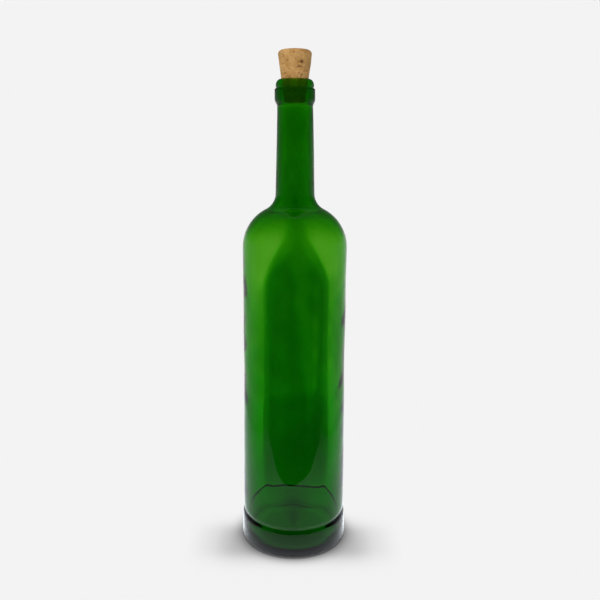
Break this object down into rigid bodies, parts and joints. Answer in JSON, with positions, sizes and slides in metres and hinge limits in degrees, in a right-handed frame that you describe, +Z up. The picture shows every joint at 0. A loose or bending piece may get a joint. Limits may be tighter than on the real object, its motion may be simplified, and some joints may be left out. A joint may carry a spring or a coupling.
{
  "type": "corked glass bottle",
  "caption": "Tall see-through green glass bottle with round shoulders, a long neck with a collar, a slightly domed base, and a tapered cork in its mouth.",
  "frame": {"origin": "centre of the circle that the foot stands on, at floor level", "axes": "+Z up along the bottle's axis, towards the mouth; -Y towards the side that faces the viewer; +X to the viewer's right"},
  "size_m": [0.0766, 0.0766, 0.3479],
  "materials": {
    "green_glass": "clear deep green bottle glass, smooth and glossy, very slightly wavy",
    "cork_bark": "dry matt natural cork, light tan, flecked with small brown pits"
  },
  "bodies": {
    "root": {"bottle": "green_glass", "cork": "cork_bark"}
  },
  "joints": []
}
